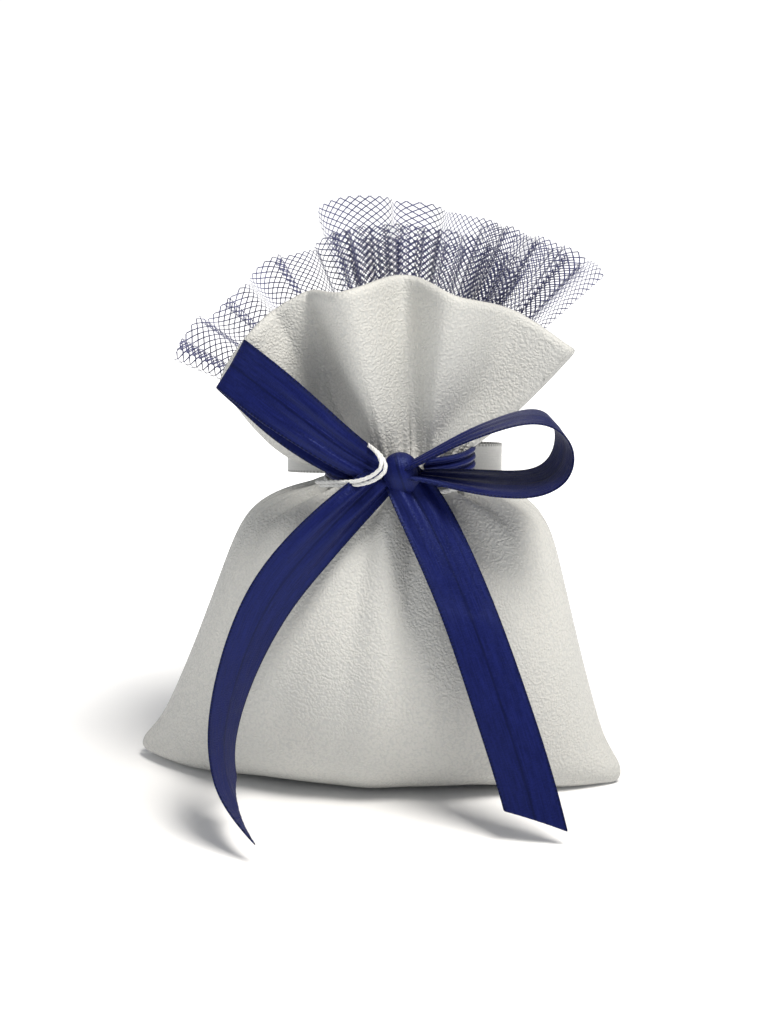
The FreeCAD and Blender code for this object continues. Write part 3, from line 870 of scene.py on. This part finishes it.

# %% [markdown]
# ## Cord
# The drawcord is three strands twisted together. Its route is a smooth curve, and each strand winds
# round the points read from that curve. The loop in front is its doubled end, two short lengths side by
# side.

# %% Twisted cord
CORD_RADIUS, LOOP_CORD_RADIUS, TWIST_PITCH = 0.5 * MM, 0.38 * MM, 3.6 * MM
STRANDS, STRAND_SHARE = 3, 0.62      # a strand's radius as a share of the cord's
RING = 8                             # corners of a strand's section
STEPS_A_TURN = 10


def route_points(points):
    """Points along the smooth curve of a route, read from a curve object with no bevel."""
    curve = bpy.data.curves.new("route", "CURVE")
    curve.dimensions = "3D"
    curve.resolution_u = 16
    line = curve.splines.new("NURBS")
    line.points.add(len(points) - 1)
    for spot, point in zip(line.points, points):
        spot.co = (*[c * MM for c in point], 1.0)
    line.order_u = 3
    line.use_endpoint_u = True
    holder = bpy.data.objects.new("route", curve)
    mesh = bpy.data.meshes.new_from_object(holder)
    found = [vert.co.copy() for vert in mesh.vertices]
    bpy.data.objects.remove(holder)
    bpy.data.meshes.remove(mesh)
    bpy.data.curves.remove(curve)
    return found


def twisted_cord(name, points, body, stands_for, radius=CORD_RADIUS):
    """A twisted cord along a route, as one mesh of round strands."""
    line = route_points(points)
    gaps = [0.0]
    for a, b in zip(line, line[1:]):
        gaps.append(gaps[-1] + (b - a).length)
    steps = int(gaps[-1] / (TWIST_PITCH / STEPS_A_TURN))
    gaps_wanted = np.linspace(0.0, gaps[-1], steps + 1)
    spots = np.stack([np.interp(gaps_wanted, gaps, [p[axis] for p in line]) for axis in range(3)], axis=1)
    bm = bmesh.new()
    along = Vector(spots[1] - spots[0]).normalized()
    side = along.orthogonal().normalized()
    frames = []
    for k, spot in enumerate(spots):
        ahead = Vector(spots[min(k + 1, steps)] - spots[max(k - 1, 0)]).normalized()
        side = (side - ahead * side.dot(ahead)).normalized()
        frames.append((Vector(spot), side.copy(), ahead.cross(side), ahead))
    for strand in range(STRANDS):
        rings = []
        for k, (spot, first, second, ahead) in enumerate(frames):
            turn = 2 * math.pi * (gaps_wanted[k] / TWIST_PITCH + strand / STRANDS)
            out = first * math.cos(turn) + second * math.sin(turn)
            over = ahead.cross(out)
            centre = spot + out * radius * (1 - STRAND_SHARE)
            ring = []
            for step in range(RING):
                a = 2 * math.pi * step / RING
                around = out * math.cos(a) + over * math.sin(a)
                ring.append(bm.verts.new(centre + around * radius * STRAND_SHARE))
            rings.append([bm.edges.new((ring[i], ring[(i + 1) % RING])) for i in range(RING)])
        for one, two in zip(rings, rings[1:]):
            bmesh.ops.bridge_loops(bm, edges=one + two)
        for end in (rings[0], rings[-1]):
            bmesh.ops.contextual_create(bm, geom=end)
    bmesh.ops.recalc_face_normals(bm, faces=bm.faces)
    print(name, "length", round(gaps[-1] / MM, 1), "mm")
    return finished(name, bm, WHITE_CORD, body, stands_for), line, gaps[-1]


neck_run = []
for k in range(15):
    turn = math.radians(-118.0 - 320.0 * k / 14)
    neck_run.append((NECK_X / MM + 13.6 * math.cos(turn), 10.6 * math.sin(turn), 56.3))
neck_cord, neck_line, neck_length = twisted_cord("neck_cord", neck_run, "pouch", ["drawcord"])
FRONT_LOOP_ROUTE = (
    (-10.4, -10.6, 58.4), (-7.4, -13.6, 59.4), (-4.0, -16.4, 60.2), (-1.4, -18.0, 61.2), (0.6, -19.0, 62.6),
    (1.6, -19.2, 64.0), (1.2, -18.4, 65.4), (0.0, -16.6, 66.4), (-1.2, -14.0, 66.4),
)
twisted_cord("front_loop_cord", FRONT_LOOP_ROUTE, "left_bow_loop", ["drawcord_front_loop"],
             radius=LOOP_CORD_RADIUS)
second_run = [(x + 0.75, y - 0.1, z - 0.55) for x, y, z in FRONT_LOOP_ROUTE]
twisted_cord("front_loop_cord_second", second_run, "left_bow_loop", [], radius=LOOP_CORD_RADIUS)

# %% [markdown]
# ## Filling
# The almonds keep their shapes from the frame, since an ellipsoid is right for them, and get a sugar
# finish. The two plain threads, of the net's tie and the bottom seam, keep theirs too.

# %% Almonds and thread
for number in range(1, 6):
    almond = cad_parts[f"sugared_almond_{number}"]
    almond.data.materials.clear()
    almond.data.materials.append(SUGAR)
for name, finish in (("net_tie_thread", NAVY_THREAD), ("bottom_stitching", WHITE_THREAD)):
    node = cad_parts[name]
    node.data.materials.clear()
    node.data.materials.append(finish)


# %% [markdown]
# The net round the almonds is two pieces of the same net, each laid inside a panel and drawn in to the
# tie.


# %% Net round the almonds
def net_bag_place(side, width, length):
    """Place function for one side of the net bag: the belly's rows drawn in, up to its tie."""
    rows = [(z * 0.955 + 1.3, half_width - 7.0, max(half_depth - 2.4, 0.0), 0.0)
            for z, half_width, half_depth, rim in BODY_ROWS[:-2]]
    rows += [(56.0, 5.4, 4.6, 0.0), (58.0, 4.6, 4.0, 0.0)]

    def place(x, y):
        u = np.clip(2 * x / width, -1, 1)
        laid = [body_row(side, u, *row) for row in rows]
        return np.einsum("pr,rpc->pc", weights(len(rows), y / length), np.stack(laid))

    return place


NET_BAG_WIDTH, NET_BAG_LENGTH = 72 * MM, 74 * MM
for name, side in (("net_bag_front", FRONT), ("net_bag_back", BACK)):
    bm = net_cloth(NET_BAG_WIDTH, NET_BAG_LENGTH)
    lay(bm, net_bag_place(side, NET_BAG_WIDTH, NET_BAG_LENGTH))
    net = finished(name + "_cloth", bm, NAVY_NET, "pouch", [name])

# %% [markdown]
# ## Floor, light and camera
# The floor is pale. It glows a little away from the pouch, so that it runs into a white background
# with no horizon, and keeps its soft shadow near the pouch.

# %% Floor
bm = bmesh.new()
bmesh.ops.create_grid(bm, x_segments=1, y_segments=1, size=3.0)
floor_mesh = bpy.data.meshes.new("floor")
bm.to_mesh(floor_mesh)
bm.free()
floor = bpy.data.objects.new("floor", floor_mesh)
floor.location.z = -0.0002
bpy.context.scene.collection.objects.link(floor)
floor_finish, floor_nodes, floor_links, floor_shader = new_finish("floor", 0.6)
floor_shader.inputs["Base Color"].default_value = (0.86, 0.86, 0.86, 1.0)
floor_shader.inputs["Emission Strength"].default_value = 0.8
where = floor_nodes.new("ShaderNodeTexCoord").outputs["Object"]
reach = floor_nodes.new("ShaderNodeVectorMath")
reach.operation = "LENGTH"
floor_links.new(where, reach.inputs[0])
far = ramp(floor_nodes, floor_links, reach.outputs["Value"], 0.02, 0.14)
glow = blend_colours(floor_nodes, floor_links, far, (0.0, 0.0, 0.0), (1.0, 1.0, 1.0))
floor_links.new(glow, floor_shader.inputs["Emission Color"])
floor_mesh.materials.append(floor_finish)


# %% [markdown]
# A warm key light stands above, to the right and in front. A weak cool one fills the left side, and a
# dim world lights the rest.


# %% Lights
def area_light(name, energy, size, spot, aim, colour):
    """A square soft light at spot, facing aim."""
    lamp = bpy.data.lights.new(name, "AREA")
    lamp.energy = energy
    lamp.size = size
    lamp.color = colour
    made = bpy.data.objects.new(name, lamp)
    made.location = spot
    made.rotation_mode = "QUATERNION"
    made.rotation_quaternion = (Vector(aim) - Vector(spot)).to_track_quat("-Z", "Y")
    bpy.context.scene.collection.objects.link(made)


area_light("key", 6.4, 0.24, (0.20, -0.20, 0.70), (0.0, 0.0, 0.05), (1.0, 0.965, 0.91))
area_light("fill", 0.35, 0.6, (-0.55, -0.5, 0.35), (0.0, 0.0, 0.05), (0.86, 0.93, 1.0))
world = bpy.data.worlds.new("world")
world.use_nodes = True
world.node_tree.nodes["Background"].inputs["Color"].default_value = (0.93, 0.95, 1.0, 1.0)
world.node_tree.nodes["Background"].inputs["Strength"].default_value = 0.26
bpy.context.scene.world = world
bpy.context.scene.view_settings.view_transform = "Standard"

# %% [markdown]
# The camera has a long lens, slightly to the right of the front and looking down, as one looks at a
# small thing on a table.

# %% Camera
camera_data = bpy.data.cameras.new("camera")
camera_data.lens = 90.0
camera = bpy.data.objects.new("camera", camera_data)
azimuth, elevation, distance = math.radians(2.5), math.radians(17.0), 0.465
aim = Vector((0.0011, 0.0, 0.0498))
camera.location = aim + distance * Vector((math.sin(azimuth) * math.cos(elevation),
                                           -math.cos(azimuth) * math.cos(elevation), math.sin(elevation)))
camera.rotation_mode = "QUATERNION"
camera.rotation_quaternion = (aim - camera.location).to_track_quat("-Z", "Y")
bpy.context.scene.collection.objects.link(camera)
bpy.context.scene.camera = camera
